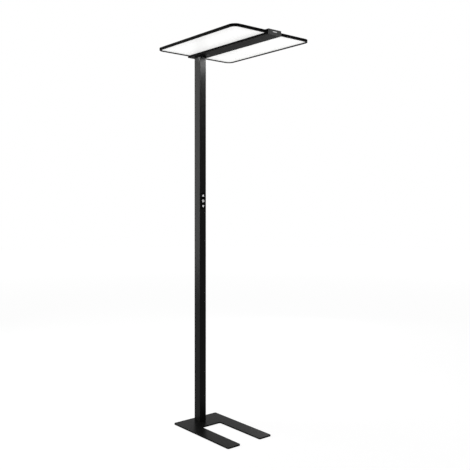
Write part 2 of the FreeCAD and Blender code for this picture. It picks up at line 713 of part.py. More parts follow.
def sensor_board():
    """The sensor's board, on top of the lens's flange."""
    low = floor_top + SENSOR_FLANGE_THICKNESS + SLIP_GAP
    half = SENSOR_BOARD_SIZE / 2
    return box((SENSOR_AHEAD_OF_POST - half, SENSOR_AHEAD_OF_POST + half), (-half, half),
               (low, low + BOARD_THICKNESS))


LOAD_PLATE_THICKNESS = 4.0
LOAD_PLATE_REAR = -34.0
LOAD_PLATE_FRONT = 46.0
LOAD_PLATE_WIDTH = 68.0
LOAD_PLATE_CORNER = 4.0


def load_plate():
    """The steel plate in the beam that spreads the head's weight over the post."""
    plate = box((LOAD_PLATE_REAR, LOAD_PLATE_FRONT), (-LOAD_PLATE_WIDTH / 2, LOAD_PLATE_WIDTH / 2),
                (floor_top, floor_top + LOAD_PLATE_THICKNESS))
    plate = round_edges_along(plate, Z_AXIS, LOAD_PLATE_CORNER)
    cutters = [rod(V(0, 0, floor_top - 1), Z_AXIS, WIRE_PASSAGE_RADIUS, LOAD_PLATE_THICKNESS + 2)]
    for x, y in corners_of(FOOT_SCREW_X, FOOT_SCREW_Y):
        cutters.append(rod(V(x, y, floor_top - 1), Z_AXIS, M6_HOLE_RADIUS, LOAD_PLATE_THICKNESS + 2))
    return cut_all(plate, cutters)


def load_screws():
    """Four screws from inside the beam down into the head block."""
    seat = floor_top + LOAD_PLATE_THICKNESS
    screws = [cap_screw(V(x, y, seat), -Z_AXIS, M6_RADIUS, HEAD_SCREW_LENGTH, M6_CAP_RADIUS,
                        M6_CAP_HEIGHT) for x, y in corners_of(FOOT_SCREW_X, FOOT_SCREW_Y)]
    return Part.makeCompound(screws)


DRIVER_LENGTH = 320.0
DRIVER_WIDTH = 36.0
DRIVER_HEIGHT = 17.0
DRIVER_LUG = 12.0
DRIVER_LUG_WIDTH = 18.0
DRIVER_LUG_THICKNESS = 1.5
DRIVER_EDGE_ROUND = 1.5
DRIVER_SCREW_BITE = 1.8
DRIVER_SCREW_LENGTH = 3.1


def driver_screw_places():
    """The middle of each of the driver's two lugs."""
    offset = DRIVER_LENGTH / 2 + DRIVER_LUG / 2
    return [DRIVER_MIDDLE - offset, DRIVER_MIDDLE + offset]


def led_driver():
    """The long flat driver on the beam's floor, with a lug at each end."""
    half_length = DRIVER_LENGTH / 2
    case = box((DRIVER_MIDDLE - half_length, DRIVER_MIDDLE + half_length),
               (-DRIVER_WIDTH / 2, DRIVER_WIDTH / 2), (floor_top, floor_top + DRIVER_HEIGHT))
    case = round_edges_along(case, X_AXIS, DRIVER_EDGE_ROUND)
    reach = half_length + DRIVER_LUG
    lugs = box((DRIVER_MIDDLE - reach, DRIVER_MIDDLE + reach),
               (-DRIVER_LUG_WIDTH / 2, DRIVER_LUG_WIDTH / 2),
               (floor_top, floor_top + DRIVER_LUG_THICKNESS))
    holes = [rod(V(x, 0, floor_top - 1), Z_AXIS, M3_RADIUS + SLIP_GAP, DRIVER_LUG_THICKNESS + 2)
             for x in driver_screw_places()]
    return cut_all(case.fuse(lugs), holes)


def driver_screws():
    """The two short screws through the driver's lugs."""
    seat = floor_top + DRIVER_LUG_THICKNESS
    screws = [cap_screw(V(x, 0, seat), -Z_AXIS, M3_RADIUS, DRIVER_SCREW_LENGTH, M3_CAP_RADIUS,
                        M3_CAP_HEIGHT) for x in driver_screw_places()]
    return Part.makeCompound(screws)


TERMINAL_LENGTH = 34.0
TERMINAL_WIDTH = 34.0
TERMINAL_HEIGHT = 15.0
TERMINAL_CORNER = 1.5
TERMINAL_POLES = 5
TERMINAL_PITCH = 6.4
WIRE_ENTRY_RADIUS = 1.6
WIRE_ENTRY_HEIGHT = 6.0
WIRE_ENTRY_DEPTH = 8.0
CLAMP_RADIUS = 1.9
CLAMP_DEPTH = 4.0
CLAMP_PLACE = 24.0


def terminal_block():
    """The connector block where the supply and the control lead meet the driver's wires."""
    end = TERMINAL_START + TERMINAL_LENGTH
    top = floor_top + TERMINAL_HEIGHT
    block = box((TERMINAL_START, end), (-TERMINAL_WIDTH / 2, TERMINAL_WIDTH / 2), (floor_top, top))
    block = round_edges_along(block, Z_AXIS, TERMINAL_CORNER)
    entry_z = floor_top + WIRE_ENTRY_HEIGHT
    middle_pole = (TERMINAL_POLES - 1) / 2
    entries = []
    for number in range(TERMINAL_POLES):
        y = (number - middle_pole) * TERMINAL_PITCH
        if number != middle_pole:
            entries.append(rod(V(TERMINAL_START - 1, y, entry_z), X_AXIS, WIRE_ENTRY_RADIUS,
                               WIRE_ENTRY_DEPTH + 1))
        entries.append(rod(V(end + 1, y, entry_z), -X_AXIS, WIRE_ENTRY_RADIUS, WIRE_ENTRY_DEPTH + 1))
        entries.append(rod(V(TERMINAL_START + CLAMP_PLACE, y, top + 1), -Z_AXIS, CLAMP_RADIUS,
                           CLAMP_DEPTH + 1))
    return cut_all(block, entries)


# ---- Wings -----------------------------------------------------------------------------
# side is 1 for the left wing and -1 for the right one.

FRAME_WALL = 2.0
FRAME_FLANGE = 1.6
FRAME_UPSTAND = 1.6
FRAME_TOP_FLANGE = 6.0
FRAME_EDGE_ROUND = 0.8
SHEET_INSET = FRAME_WALL + FIT_GAP
END_FILL = 12.0
STRIP_THICKNESS = 1.2
LED_SIZE = 2.4
LED_PROUD = 0.7
LED_COUNT = 48
STRIP_END_GAP = 4.0


def head_plan(inset, z):
    """A block over the head's whole plan, inset all round, with the rounded corners."""
    block = box((frame_rear + inset, frame_front - inset), (-half_head + inset, half_head - inset), z)
    return round_edges_along(block, Z_AXIS, HEAD_CORNER - inset)


def wing_side(side, start, z):
    """The half space of one wing, from start outwards, as a block to trim with."""
    y = sorted((side * start, side * (half_head + 1)))
    return box((frame_rear - 1, frame_front + 1), y, (z[0] - 1, z[1] + 1))


def frame_band(outer_inset, inner_inset, z):
    """A band of the frame's section between two insets."""
    return head_plan(outer_inset, z).cut(head_plan(inner_inset, (z[0] - 1, z[1] + 1)))


def wing_frame(side):
    """One wing's three-sided frame: a C section that holds the sheets' edges."""
    height = (frame_bottom, frame_top)
    outside = head_plan(0, height)
    outside = outside.makeFillet(FRAME_EDGE_ROUND, edges_at(outside, Z_AXIS, frame_bottom))
    outside = outside.makeFillet(FRAME_EDGE_ROUND, edges_at(outside, Z_AXIS, frame_top))
    hollow_z = (frame_bottom + FRAME_FLANGE, upper_fin_z[0])
    frame = outside.cut(head_plan(FRAME_WALL, hollow_z))
    frame = frame.cut(head_plan(FRAME_LIP, (frame_bottom - 1, frame_bottom + FRAME_FLANGE + 1)))
    frame = frame.cut(head_plan(FRAME_TOP_FLANGE, (upper_fin_z[0] - 1, frame_top + 1)))
    upstand_z = (frame_bottom + FRAME_FLANGE, frame_bottom + FRAME_RECESS)
    frame = frame.fuse(frame_band(FRAME_LIP - FRAME_UPSTAND, FRAME_LIP, upstand_z))
    fill_z = (frame_bottom + FRAME_FLANGE, frame_bottom + FRAME_RECESS)
    fill_y = sorted((side * half_beam, side * (half_beam + END_FILL)))
    for x in ((frame_rear + FRAME_WALL, frame_rear + FRAME_LIP - FRAME_UPSTAND),
              (frame_front - FRAME_LIP + FRAME_UPSTAND, frame_front - FRAME_WALL)):
        frame = frame.fuse(box(x, fill_y, fill_z))
    frame = frame.common(wing_side(side, half_beam, height))
    threads = [rod(V(x, side * (half_beam - 1), frame_screw_z), Y_AXIS * side,
                   M2_RADIUS + THREAD_GAP, FRAME_SCREW_LENGTH) for x in frame_screw_x]
    return cut_all(frame, threads).removeSplitter()


def wing_sheet(side, start, z):
    """One flat sheet of a wing, from start out to the frame's groove."""
    return head_plan(SHEET_INSET, z).common(wing_side(side, start, z))


def led_strip(side):
    """The strip of light sources on the beam's wall, facing the light guide's edge."""
    run = (frame_rear + FRAME_LIP + STRIP_END_GAP, frame_front - FRAME_LIP - STRIP_END_GAP)
    z = (guide_z[0] + THREAD_GAP, guide_z[1] - THREAD_GAP)
    strip = box(run, sorted((side * half_beam, side * (half_beam + STRIP_THICKNESS))), z)
    face = half_beam + STRIP_THICKNESS
    middle = (z[0] + z[1]) / 2
    pitch = (run[1] - run[0]) / LED_COUNT
    sources = []
    for number in range(LED_COUNT):
        x = run[0] + (number + 0.5) * pitch
        sources.append(box((x - LED_SIZE / 2, x + LED_SIZE / 2),
                           sorted((side * face, side * (face + LED_PROUD))),
                           (middle - LED_SIZE / 2, middle + LED_SIZE / 2)))
    return strip.multiFuse(sources)


def frame_screws():
    """Small screws from inside the beam that hold the ends of both frames."""
    screws = []
    for side in (-1, 1):
        for x in frame_screw_x:
            under_head = V(x, side * (half_beam - BEAM_WALL), frame_screw_z)
            screws.append(cap_screw(under_head, Y_AXIS * side, M2_RADIUS, FRAME_SCREW_LENGTH,
                                    M2_CAP_RADIUS, M2_CAP_HEIGHT))
    return Part.makeCompound(screws)


# ---- Every piece by name ---------------------------------------------------------------


def all_pieces():
    """The named pieces of the lamp."""
    pieces = {
        "base_plate": base_plate(),
        "glide_pads": glide_pads(),
        "foot_screws": foot_screws(),
        "foot_block": foot_block(),
        "foot_side_screws": side_screws(foot_side_heights),
        "post_profile": post_profile(),
        "cable_gland": cable_gland(),
        "gland_nut": gland_nut(),
        "control_plate": control_plate(),
        "up_button": key("up", arrow_mark(1, THREAD_GAP)),
        "power_button": key("power", power_mark(THREAD_GAP)),
        "down_button": key("down", arrow_mark(-1, THREAD_GAP)),
        "up_mark": arrow_mark(1, 0),
        "power_mark": power_mark(0),
        "down_mark": arrow_mark(-1, 0),
        "control_board": control_board(),
        "key_switches": key_switches(),
        "control_lead": control_lead(),
        "head_block": head_block(),
        "head_side_screws": side_screws(head_side_heights),
        "load_plate": load_plate(),
        "load_screws": load_screws(),
        "beam_body": beam_body(),
        "beam_cover": beam_cover(),
        "cover_screws": cover_screws(),
        "front_cap": front_cap(),
        "rear_cap": rear_cap(),
        "status_window": status_window(),
        "status_board": status_board(),
        "sensor_lens": sensor_lens(),
        "sensor_board": sensor_board(),
        "led_driver": led_driver(),
        "driver_screws": driver_screws(),
        "terminal_block": terminal_block(),
        "frame_screws": frame_screws(),
    }
    guide_start = half_beam + STRIP_THICKNESS + LED_PROUD + FIT_GAP
    for name, side in (("left", 1), ("right", -1)):
        pieces[name + "_frame"] = wing_frame(side)
        pieces[name + "_diffuser"] = wing_sheet(side, half_beam + FIT_GAP, lower_sheet_z)
        pieces[name + "_light_guide"] = wing_sheet(side, guide_start, guide_z)
        pieces[name + "_top_diffuser"] = wing_sheet(side, half_beam + FIT_GAP, upper_sheet_z)
        pieces[name + "_led_strip"] = led_strip(side)
    return pieces


os.makedirs("parts", exist_ok=True)
for piece_name, piece in all_pieces().items():
    print("%-22s %2d solid(s), %10.1f mm3, valid %s"
          % (piece_name, len(piece.Solids), piece.Volume, piece.isValid()))
    piece.exportStep("parts/%s.step" % piece_name)
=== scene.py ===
# %% [markdown]
# # An office floor lamp
#
# The lamp stands beside a desk: a flat U-shaped foot, a slim rectangular post with three keys
# at hand height, and a thin head of two lit wings on either side of a narrow beam. Its solids
# come ready made and to scale. This lesson gives them their finishes, adds the small shapes
# that moulding and machining leave, and sets up a soft studio with the photograph's camera.
#
# The first cell loads the solids as a frame that never changes.

# %% Load the lamp's solids
import math

import bmesh
import bpy
from mathutils import Matrix, Vector


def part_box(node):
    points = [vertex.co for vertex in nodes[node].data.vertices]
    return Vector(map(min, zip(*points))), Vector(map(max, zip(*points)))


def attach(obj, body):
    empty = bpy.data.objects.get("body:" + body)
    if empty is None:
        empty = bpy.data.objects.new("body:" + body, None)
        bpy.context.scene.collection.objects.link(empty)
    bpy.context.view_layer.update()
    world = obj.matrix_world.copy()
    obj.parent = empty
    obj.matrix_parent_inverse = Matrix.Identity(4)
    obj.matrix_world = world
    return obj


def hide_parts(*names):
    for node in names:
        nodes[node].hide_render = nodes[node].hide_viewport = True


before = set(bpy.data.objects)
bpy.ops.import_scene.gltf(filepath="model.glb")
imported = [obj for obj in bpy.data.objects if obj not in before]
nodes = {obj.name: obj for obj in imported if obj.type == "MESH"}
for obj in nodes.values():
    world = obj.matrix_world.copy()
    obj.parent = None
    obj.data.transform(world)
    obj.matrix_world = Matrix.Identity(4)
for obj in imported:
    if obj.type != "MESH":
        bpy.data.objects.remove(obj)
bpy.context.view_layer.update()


def rounded(values, digits):
    """Numbers cut to a few digits, which are easier to read when printed."""
    return [round(value, digits) for value in values]


# %% [markdown]
# ## How a finish is built
#
# Every finish here is a Principled shader with a few texture nodes in front of it. The nodes
# read Object coordinates, which are the lamp's own metres, so a grain of 0.5 mm is 0.5 mm on
# every piece and stays put when the camera moves. Numbers that are the same all over a
# surface are typed into the shader itself. Only what varies, such as grain, gets nodes.
#
# The helpers below keep the cells that follow short. One starts a finish, two add a grain
# or cells of a given size, and the others turn these into numbers, colours or bumps. The
# last two aren't for finishes alone: one does a sum on what nodes pass along, and one puts
# a new object into the scene. A noise keeps mostly to the middle of its range, so the
# pairs of numbers at the top say which part of it counts as all of it.

# %% Helpers for finishes
MILLIMETRE = 0.001
NOISE_LOW, NOISE_HIGH = 0.3, 0.7
BLEND_LOW, BLEND_HIGH = 0.35, 0.65


class Finish:
    """A Principled material and the node helpers that its textures are made with."""

    def __init__(self, name, **values):
        self.material = bpy.data.materials.new(name)
        self.material.use_nodes = True
        self.tree = self.material.node_tree
        self.shader = self.tree.nodes["Principled BSDF"]
        for key, value in values.items():
            socket = key.replace("_", " ").title().replace("Ior", "IOR")
            self.shader.inputs[socket].default_value = value
        self.place = self.tree.nodes.new("ShaderNodeTexCoord").outputs["Object"]

    def join(self, source, target):
        self.tree.links.new(source, target)

    def grain(self, size, detail=2.0, stretch=(1, 1, 1)):
        """Noise whose blobs are about this size in metres, stretched along the axes."""
        mapping = self.tree.nodes.new("ShaderNodeMapping")
        mapping.inputs["Scale"].default_value = [1 / s for s in stretch]
        noise = self.tree.nodes.new("ShaderNodeTexNoise")
        noise.inputs["Scale"].default_value = 1 / size
        noise.inputs["Detail"].default_value = detail
        self.join(self.place, mapping.inputs["Vector"])
        self.join(mapping.outputs["Vector"], noise.inputs["Vector"])
        return noise.outputs["Fac"]

    def cells(self, size):
        """Rounded cells of about this size in metres, as in a spark-eroded mould."""
        voronoi = self.tree.nodes.new("ShaderNodeTexVoronoi")
        voronoi.inputs["Scale"].default_value = 1 / size
        self.join(self.place, voronoi.inputs["Vector"])
        return voronoi.outputs["Distance"]

    def ranged(self, source, low, high, socket):
        """The source spread from low to high, into a socket."""
        spread = self.tree.nodes.new("ShaderNodeMapRange")
        spread.inputs["From Min"].default_value = NOISE_LOW
        spread.inputs["From Max"].default_value = NOISE_HIGH
        spread.inputs["To Min"].default_value = low
        spread.inputs["To Max"].default_value = high
        self.join(source, spread.inputs["Value"])
        self.join(spread.outputs["Result"], self.shader.inputs[socket])

    def roughened(self, source, middle, either_way):
        """Roughness that varies with the source about a middle value."""
        self.ranged(source, middle - either_way, middle + either_way, "Roughness")

    def coloured(self, source, dark, light):
        """The source blended from one colour to another."""
        ramp = self.tree.nodes.new("ShaderNodeValToRGB")
        stops = ramp.color_ramp.elements
        stops[0].position, stops[0].color = BLEND_LOW, (*dark, 1)
        stops[1].position, stops[1].color = BLEND_HIGH, (*light, 1)
        self.join(source, ramp.inputs["Fac"])
        self.join(ramp.outputs["Color"], self.shader.inputs["Base Color"])

    def toned(self, colour, patch, darker, lighter):
        """A colour that drifts between two shares of itself, over patches of this size."""
        self.coloured(self.grain(patch), [channel * darker for channel in colour],
                      [channel * lighter for channel in colour])

    def bumped(self, source, height, strength):
        """The source as relief of this height in metres."""
        bump = self.tree.nodes.new("ShaderNodeBump")
        bump.inputs["Distance"].default_value = height
        bump.inputs["Strength"].default_value = strength
        self.join(source, bump.inputs["Height"])
        self.join(bump.outputs["Normal"], self.shader.inputs["Normal"])


def number(tree, operation, first, second):
    """A Math node over two sockets or plain numbers."""
    node = tree.nodes.new("ShaderNodeMath")
    node.operation = operation
    for place, value in enumerate((first, second)):
        if isinstance(value, (int, float)):
            node.inputs[place].default_value = value
        else:
            tree.links.new(value, node.inputs[place])
    return node.outputs["Value"]


def placed(name, data):
    """A new object in the scene, at the origin."""
    thing = bpy.data.objects.new(name, data)
    bpy.context.scene.collection.objects.link(thing)
    return thing


finishes = {}
print("helpers ready")

# %% [markdown]
# ## Black powder coat
#
# Foot, post and head are coated with black powder that is melted on. It isn't a smooth
# paint: the melt leaves a fine pebbled skin, grains of about half a millimetre and one or
# two hundredths deep, which scatters the light and keeps the black soft. A wide, faint
# drift in tone comes from the spray. The three coats differ a little: the foot's is the
# coarsest, the post's has most sheen, and the head's is the flattest, so that it doesn't
# glare over a desk.

# %% Powder coats
def powder_coat(slot, colour, grain, height, rough, sheen):
    """A pebbled black coat with a slow drift in tone; grain and height in millimetres."""
    coat = Finish(slot.replace("_", " "), specular_ior_level=sheen)
    coat.toned(colour, patch=0.16, darker=0.92, lighter=1.08)
    coat.roughened(coat.grain(0.004), rough, either_way=0.04)
    coat.bumped(coat.grain(grain * MILLIMETRE, detail=3.0), height * MILLIMETRE, strength=0.6)
    finishes[slot] = coat.material


powder_coat("powder_coat_steel", (0.004, 0.004, 0.0039),
            grain=0.7, height=0.015, rough=0.32, sheen=0.024)
powder_coat("powder_coat_profile", (0.0155, 0.0155, 0.015),
            grain=0.5, height=0.015, rough=0.28, sheen=0.045)
powder_coat("head_coat", (0.008, 0.008, 0.008),
            grain=0.5, height=0.02, rough=0.45, sheen=0.009)
coat_count = len(finishes)
print("coats:", sorted(finishes))

# %% [markdown]
# ## Plastics and rubber
#
# Moulded parts carry the skin of their mould. End caps, gland and switches come from
# spark-eroded moulds, whose skin is made of small round cells. The key panel's mould is
# polished, so its black is deep with only a slow ripple. Rubber pads and the lead's sheath
# are the roughest.

# %% Moulded plastics
def moulded(slot, colour, cell, height, rough, sheen):
    """A moulded plastic with the skin of an eroded mould; cell and height in millimetres."""
    plastic = Finish(slot.replace("_", " "), specular_ior_level=sheen)
    plastic.toned(colour, patch=0.03, darker=0.94, lighter=1.06)
    plastic.roughened(plastic.grain(0.003), rough, either_way=0.05)
    plastic.bumped(plastic.cells(cell * MILLIMETRE), height * MILLIMETRE, strength=0.5)
    finishes[slot] = plastic.material


# Each line holds a slot, its colour, the cells' size and height, the roughness and the sheen.
PLASTICS = (
    ("cap_plastic", (0.240, 0.240, 0.240), 0.5, 0.03, 0.60, 0.06),
    ("gland_plastic", (0.022, 0.022, 0.022), 0.5, 0.03, 0.55, 0.30),
    ("switch_plastic", (0.050, 0.050, 0.052), 0.4, 0.02, 0.50, 0.40),
    ("key_plastic", (0.003, 0.003, 0.003), 0.3, 0.01, 0.40, 0.06),
    ("keypad_plastic", (0.002, 0.002, 0.002), 1.5, 0.005, 0.22, 0.03),
    ("terminal_plastic", (0.75, 0.74, 0.70), 0.5, 0.02, 0.45, 0.50),
    ("sensor_dark", (0.004, 0.003, 0.004), 1.5, 0.003, 0.22, 0.06),
)
for line in PLASTICS:
    moulded(*line)

# %% Rubber
def rubbery(slot, colour, rough):
    """A matt rubber with a fine, irregular skin."""
    rubber = Finish(slot.replace("_", " "), specular_ior_level=0.25)
    rubber.toned(colour, patch=0.008, darker=0.9, lighter=1.1)
    rubber.roughened(rubber.grain(0.002), rough, either_way=0.06)
    rubber.bumped(rubber.grain(0.8 * MILLIMETRE, detail=4.0), 0.05 * MILLIMETRE, strength=0.7)
    finishes[slot] = rubber.material


rubbery("rubber_black", (0.022, 0.022, 0.022), rough=0.80)
rubbery("lead_sheath", (0.030, 0.030, 0.030), rough=0.65)
print("moulded and rubber:", len(finishes) - coat_count)

# %% [markdown]
# ## Metals inside and screws
#
# The plugs in the post's ends are sawn and milled aluminium: fine lines along the cut. The
# hidden screws and the load plate are zinc plated, a soft grey with a faint bloom. The
# screws that show are blackened. The driver's case is grey lacquered sheet.

# %% Metals
def metal(slot, colour, rough, grain, stretch):
    """A bare metal, its grain in millimetres and stretched the way that it was worked."""
    plate = Finish(slot.replace("_", " "), metallic=1.0)
    worked = plate.grain(grain * MILLIMETRE, detail=3.0, stretch=stretch)
    plate.toned(colour, patch=0.01, darker=0.9, lighter=1.05)
    plate.roughened(worked, rough, either_way=0.08)
    plate.bumped(worked, 0.01 * MILLIMETRE, strength=0.5)
    finishes[slot] = plate.material


metal("bare_aluminium", (0.70, 0.71, 0.72), rough=0.38, grain=0.4, stretch=(1, 1, 30))
metal("steel_zinc", (0.62, 0.63, 0.65), rough=0.40, grain=1.2, stretch=(1, 1, 1))

# %% Blackened screws, lacquered sheet and circuit board
BOARD_WEAVE = (1, 6, 1)

screw = Finish("screw black", specular_ior_level=0.4)
screw.coloured(screw.grain(0.004), (0.016, 0.016, 0.017), (0.026, 0.026, 0.027))
screw.ranged(screw.grain(0.001), 0.36, 0.50, "Roughness")
screw.bumped(screw.grain(0.5 * MILLIMETRE), 0.01 * MILLIMETRE, strength=0.5)
finishes["screw_black"] = screw.material

lacquer = Finish("driver case", specular_ior_level=0.5)
lacquer.coloured(lacquer.grain(0.05), (0.30, 0.30, 0.29), (0.34, 0.34, 0.33))
lacquer.ranged(lacquer.grain(0.003), 0.32, 0.42, "Roughness")
lacquer.bumped(lacquer.grain(1.5 * MILLIMETRE), 0.02 * MILLIMETRE, strength=0.4)
finishes["driver_case"] = lacquer.material

board = Finish("board green", specular_ior_level=0.5)
tracks = board.grain(1.5 * MILLIMETRE, stretch=BOARD_WEAVE)
board.coloured(tracks, (0.018, 0.110, 0.050), (0.035, 0.170, 0.085))
board.ranged(board.grain(0.002), 0.28, 0.40, "Roughness")
board.bumped(board.grain(MILLIMETRE, stretch=BOARD_WEAVE), 0.02 * MILLIMETRE, strength=0.5)
finishes["board_green"] = board.material
print("metals, lacquer and board done:", len(finishes))

# %% [markdown]
# ## What is lit
#
# The lamp is on. Light from the strips in the beam enters the edge of the clear sheets and
# leaves through the opal ones, so the opal sheets are the brightest things in the picture.
# They glow by themselves here: the glow and the studio's light together come to just about
# white, because a stronger glow would bleed over the thin frame. What a real sheet throws on
# the post is added further down by lamps that can't be seen. The key signs are white print
# with a painted glow that stands in for the light falling on them; they and the small window
# glow a little less than white paper, the strips inside about as much.

# %% Lit finishes
def lit(slot, colour, glow, weakest, strongest, blob):
    """A white that glows, a little unevenly, over blobs of this size in metres."""
    sheet = Finish(slot.replace("_", " "), specular_ior_level=0.3, emission_color=(*glow, 1))
    sheet.toned(colour, patch=blob, darker=0.97, lighter=1.0)
    sheet.ranged(sheet.grain(blob), weakest, strongest, "Emission Strength")
    sheet.roughened(sheet.grain(blob / 4), 0.4, either_way=0.05)
    finishes[slot] = sheet.material


lit("window_pale", (0.85, 0.86, 0.86), (1.0, 1.0, 1.0), weakest=0.30, strongest=0.34, blob=0.004)
# The key signs are white print; their glow is painted light standing in for the light on them.
lit("mark_white", (0.90, 0.90, 0.89), (1.0, 1.0, 1.0), weakest=0.50, strongest=0.54, blob=0.002)
lit("strip_white", (0.90, 0.90, 0.86), (1.0, 0.98, 0.94), weakest=0.9, strongest=1.1, blob=0.003)

# %% [markdown]
# The opal sheets are brightest in the middle and a little dimmer along their edges: this is
# painted shade, the frame's shadow on the sheets put into their glow. Distance from the
# nearest edge is worked out from the sheet's own box: how far the point is inside it along X
# and along Y, whichever is less. The first eight centimetres carry the painted shade. The
# upper sheets let out a smaller share of the light, so their height decides how much of the
# glow they get.

# %% Opal sheets, with painted shade along the edges
SHEET_GLOW = 0.73
# The glow at the very edge, lowered as painted shade from the frame, and the band it fades over.
SHADED_EDGE_GLOW = 0.61
EDGE_SHADE_BAND = 0.080
TOP_GLOW_SHARE = 0.2


def depth_inside(tree, value, low, high):
    """How far a value is inside two limits, measured from the nearer one."""
    return number(tree, "MINIMUM", number(tree, "SUBTRACT", value, low),
                  number(tree, "SUBTRACT", high, value))


opal = Finish("opal sheet", specular_ior_level=0.3, emission_color=(1.0, 1.0, 0.995, 1))
tree = opal.tree
parts = tree.nodes.new("ShaderNodeSeparateXYZ")
opal.join(opal.place, parts.inputs["Vector"])

sheet_low, sheet_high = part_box("left_diffuser")
along = depth_inside(tree, parts.outputs["X"], sheet_low.x, sheet_high.x)
aside = number(tree, "ABSOLUTE", parts.outputs["Y"], 0.0)
across = depth_inside(tree, aside, sheet_low.y, sheet_high.y)
# Painted shade: the glow dims from the middle towards the sheets' edges.
inside = tree.nodes.new("ShaderNodeMapRange")
inside.interpolation_type = "SMOOTHSTEP"
inside.inputs["From Max"].default_value = EDGE_SHADE_BAND
inside.inputs["To Min"].default_value = SHADED_EDGE_GLOW
inside.inputs["To Max"].default_value = SHEET_GLOW
opal.join(number(tree, "MINIMUM", along, across), inside.inputs["Value"])

top_sheet_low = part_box("left_top_diffuser")[0]
between_sheets = (sheet_high.z + top_sheet_low.z) / 2
on_top = number(tree, "GREATER_THAN", parts.outputs["Z"], between_sheets)
held_back = number(tree, "MULTIPLY", on_top, 1 - TOP_GLOW_SHARE)
share = number(tree, "SUBTRACT", 1.0, held_back)
opal.join(number(tree, "MULTIPLY", inside.outputs["Result"], share),
          opal.shader.inputs["Emission Strength"])
opal.coloured(opal.grain(0.05), (0.90, 0.90, 0.89), (0.93, 0.93, 0.92))
opal.ranged(opal.grain(0.01), 0.40, 0.50, "Roughness")
finishes["opal_sheet"] = opal.material

# %% Clear light guide
DOT_SIZE = 2.0 * MILLIMETRE

guide = Finish("clear guide", specular_ior_level=0.5, alpha=0.45)
guide.coloured(guide.grain(0.03), (0.92, 0.95, 0.95), (0.95, 0.97, 0.97))
guide.ranged(guide.cells(DOT_SIZE), 0.05, 0.20, "Roughness")
guide.bumped(guide.cells(DOT_SIZE), 0.05 * MILLIMETRE, strength=0.3)
finishes["clear_guide"] = guide.material
print("finishes in all:", len(finishes))

# %% [markdown]
# ## Dress the solids
#
# Each solid arrives with one material slot, named after its finish in the record. Putting
# the new material into that slot changes the look and leaves the mesh as it is.

# %% Put every finish on its pieces
dressed = 0
for node in nodes.values():
    for material_slot in node.material_slots:
        material_slot.material = finishes[material_slot.material.name.split(".")[0]]
        dressed += 1
print("slots dressed:", dressed, "of", len(nodes), "pieces")

# %% [markdown]
# ## Turned pieces
#
# Two small mouldings have more shape than a plain solid gives them: the gland at the back,
# whose cap has ribs for the fingers that tighten it, and the sensor's lens under the beam,
# which is stepped in rings so that a thin lens bends light like a thick one. Both are round,
# so each starts as half an outline that is spun about its own axis. Every outline point is
# a distance along the axis and a radius. Where the outline ends on the axis, the spin leaves
# many points in one place there, and these are merged. Normals are worked out last.

# %% A helper for turned pieces
TURN_STEPS = 72
SHARP_ANGLE = math.radians(28)
SAME_PLACE = 0.01 * MILLIMETRE


def turned(outline, centre, axis, aside, closed):
    """A bmesh with an outline of (along, radius) in millimetres spun about an axis."""
    shape = bmesh.new()
    points = [shape.verts.new(centre + (axis * along + aside * radius) * MILLIMETRE)
              for along, radius in outline]
    lines = [shape.edges.new(pair) for pair in zip(points, points[1:])]
    if closed:
        lines.append(shape.edges.new((points[-1], points[0])))
    bmesh.ops.spin(shape, geom=points + lines, cent=centre, axis=axis, angle=2 * math.pi,
                   steps=TURN_STEPS, use_merge=True)
    bmesh.ops.remove_doubles(shape, verts=shape.verts, dist=SAME_PLACE)
    bmesh.ops.recalc_face_normals(shape, faces=shape.faces)
    return shape


def piece_from(shape, name, slot, stands_for):
    """Turns a bmesh into a finished piece that takes a solid's place on the lamp."""
    mesh = bpy.data.meshes.new(name)
    shape.to_mesh(mesh)
    shape.free()
    mesh.shade_smooth()
    mesh.set_sharp_from_angle(angle=SHARP_ANGLE)
    mesh.materials.append(finishes[slot])
    piece = placed(name, mesh)
    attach(piece, "lamp")
    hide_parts(stands_for)
    size = rounded(piece.dimensions / MILLIMETRE, 1)
    print(name, "faces:", len(mesh.polygons), "size mm:", size)


# %% [markdown]
# ### The cable gland
#
# A collar lies against the post, the ribbed cap stands out of it, and its mouth is rounded
# for the cord. The threaded neck runs on through the post's wall. Ribs are made by pulling
# two of every four points round the cap a little towards the axis. Both pieces are laid out
# in millimetres, the gland from the post's middle towards the back.

# %% Gland with a ribbed cap
RIB_PERIOD = 4
PULLED_IN = (1, 2)
RIB_DEPTH = 0.93
RIBS_FROM, RIBS_TO = -28.7, -26.45

gland_low, gland_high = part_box("cable_gland")
gland_centre = Vector((0, 0, (gland_low.z + gland_high.z) / 2))
gland_outline = [(-13.0, 6.0), (-25.0, 6.0), (-25.0, 9.0), (-26.1, 9.0), (-26.4, 8.7),
                 (-26.5, 8.5), (-28.6, 8.5), (-29.3, 8.1), (-29.8, 7.4), (-30.0, 6.6),
                 (-30.0, 5.0), (-29.8, 4.4), (-29.3, 4.0), (-13.0, 4.0)]
gland = turned(gland_outline, gland_centre, Vector((1, 0, 0)), Vector((0, 0, 1)), closed=True)
ribs = []
for point in gland.verts:
    turn = math.atan2(point.co.y, point.co.z - gland_centre.z) / (2 * math.pi) * TURN_STEPS
    on_cap = RIBS_FROM * MILLIMETRE < point.co.x < RIBS_TO * MILLIMETRE
    if on_cap and round(turn) % RIB_PERIOD in PULLED_IN:
        ribs.append(point)
bmesh.ops.scale(gland, vec=(1, RIB_DEPTH, RIB_DEPTH), verts=ribs,
                space=Matrix.Translation(-gland_centre))
print("rib points:", len(ribs))
piece_from(gland, "ribbed_gland", "gland_plastic", "cable_gland")

# %% [markdown]
# ### The sensor's lens
#
# From below one sees a dark disc that stands one millimetre out of the beam. It is slightly
# domed and has two fine rings. A flange inside the beam keeps it from falling out.

# %% Stepped sensor lens
LENS_RADIUS = 8.0
FLANGE_RADIUS = 11.0
FLANGE_THICK = 1.5

